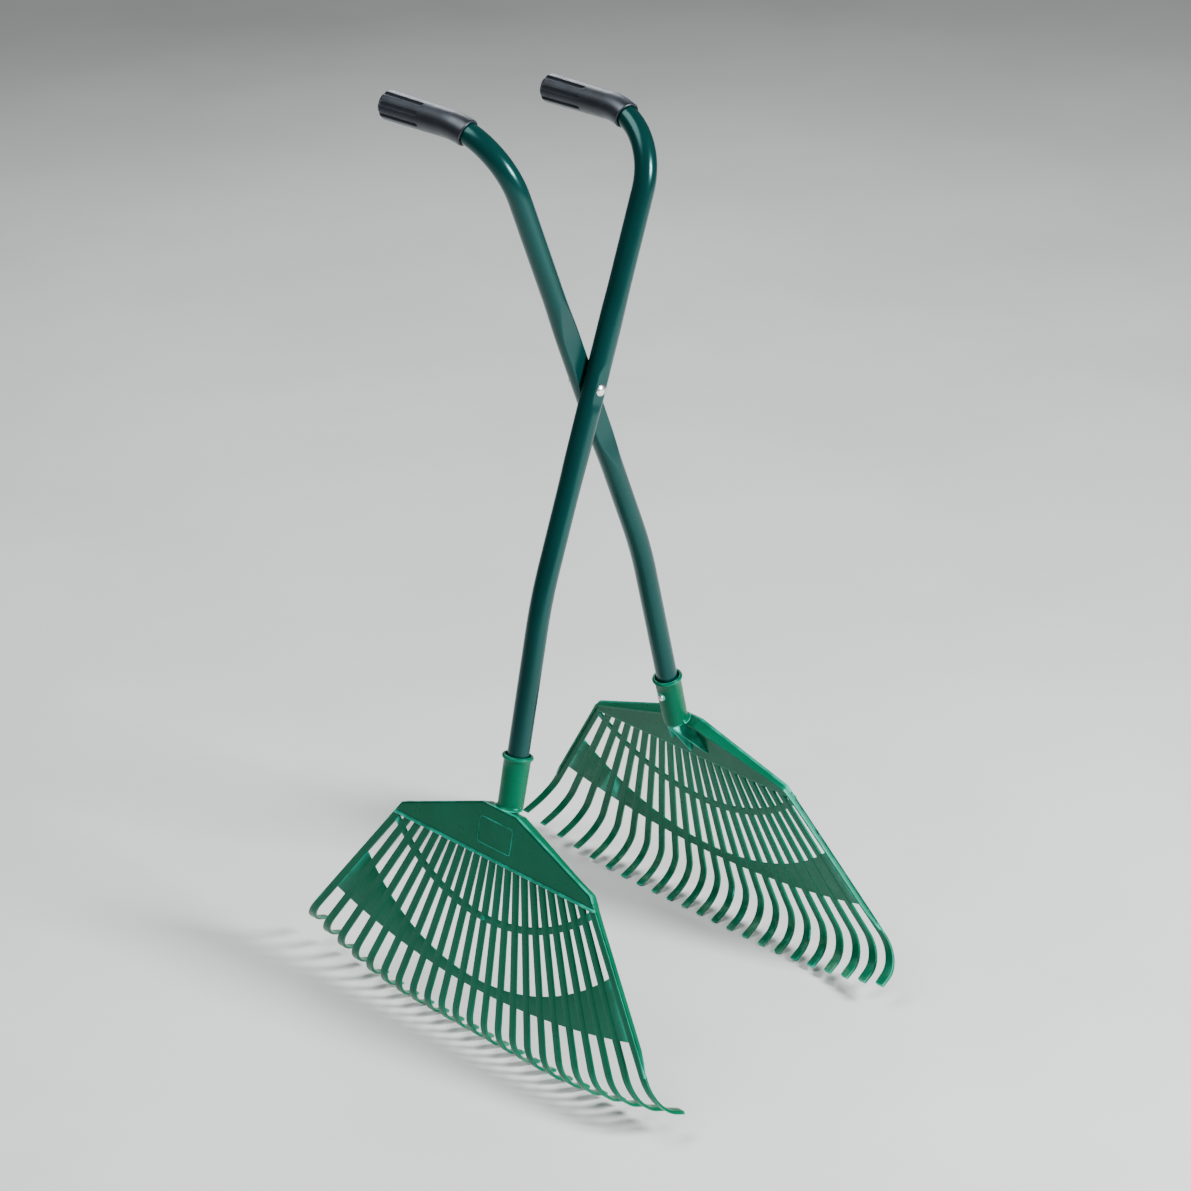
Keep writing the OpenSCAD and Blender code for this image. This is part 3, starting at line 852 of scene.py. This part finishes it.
# ---------------------------------------------------------------- stage, lights and camera
def build_floor():
    half, steps = 6.0, 24
    points = [(-half + 2 * half * i / steps, -half + 2 * half * j / steps, 0)
              for j in range(steps + 1) for i in range(steps + 1)]
    row = steps + 1
    faces = [[j * row + i, j * row + i + 1, (j + 1) * row + i + 1, (j + 1) * row + i]
             for j in range(steps) for i in range(steps)]
    mesh = bpy.data.meshes.new("studio_floor")
    mesh.from_pydata(points, [], faces)
    mesh.materials.append(floor_grey())
    floor = bpy.data.objects.new("studio_floor", mesh)
    bpy.context.scene.collection.objects.link(floor)


def area_light(name, spot, target, size, power, colour):
    light = bpy.data.lights.new(name, "AREA")
    light.shape, light.size, light.energy, light.color = "DISK", size, power, colour
    lamp = bpy.data.objects.new(name, light)
    lamp.location = spot
    lamp.rotation_euler = (Vector(target) - Vector(spot)).to_track_quat("-Z", "Y").to_euler()
    bpy.context.scene.collection.objects.link(lamp)


def build_lights():
    """A key from the front right, a broad soft light above, a weak one behind, and a dim room."""
    area_light("side_key", (0.7, -2.6, 1.9), (0, 0, 0.3), 0.8, 200, (0.96, 1.0, 1.0))
    area_light("overhead_softbox", (-0.9, 0.5, 2.6), (0, 0, 0.4), 1.6, 50, (0.97, 0.99, 1.0))
    area_light("rear_rim", (1.6, 1.9, 1.9), (0, 0, 0.5), 1.2, 22, (0.96, 0.99, 1.0))
    world = bpy.data.worlds.new("soft_room")
    world.use_nodes = True
    background = world.node_tree.nodes["Background"]
    background.inputs["Color"].default_value = (0.86, 0.9, 0.94, 1)
    background.inputs["Strength"].default_value = 0.13
    bpy.context.scene.world = world


def build_camera():
    """Sees the tool at the reference angle, with the pivot at a set depth and place in the view."""
    yaw, pitch, roll = math.radians(44.2), math.radians(25.6), math.radians(-0.9)
    focal_px, image_px, sensor_mm = 3503.5, 1191.0, 36.0
    depth, aside, above = 3.3512, -0.0064, 0.2006
    ahead = Vector((math.sin(yaw) * math.cos(pitch), math.cos(yaw) * math.cos(pitch), -math.sin(pitch)))
    level = Vector((math.cos(yaw), -math.sin(yaw), 0))
    upward = level.cross(ahead)
    right = level * math.cos(roll) + upward * math.sin(roll)
    up = upward * math.cos(roll) - level * math.sin(roll)
    spot = Vector((0, 0, PIVOT_Z * MM)) - right * aside - up * above - ahead * depth
    data = bpy.data.cameras.new("camera")
    data.sensor_width = sensor_mm
    data.lens = focal_px / image_px * sensor_mm
    camera = bpy.data.objects.new("camera", data)
    columns = Matrix((right, up, -ahead)).transposed().to_4x4()
    camera.matrix_world = Matrix.Translation(spot) @ columns
    bpy.context.scene.collection.objects.link(camera)
    bpy.context.scene.camera = camera


build_floor()
build_lights()
build_camera()
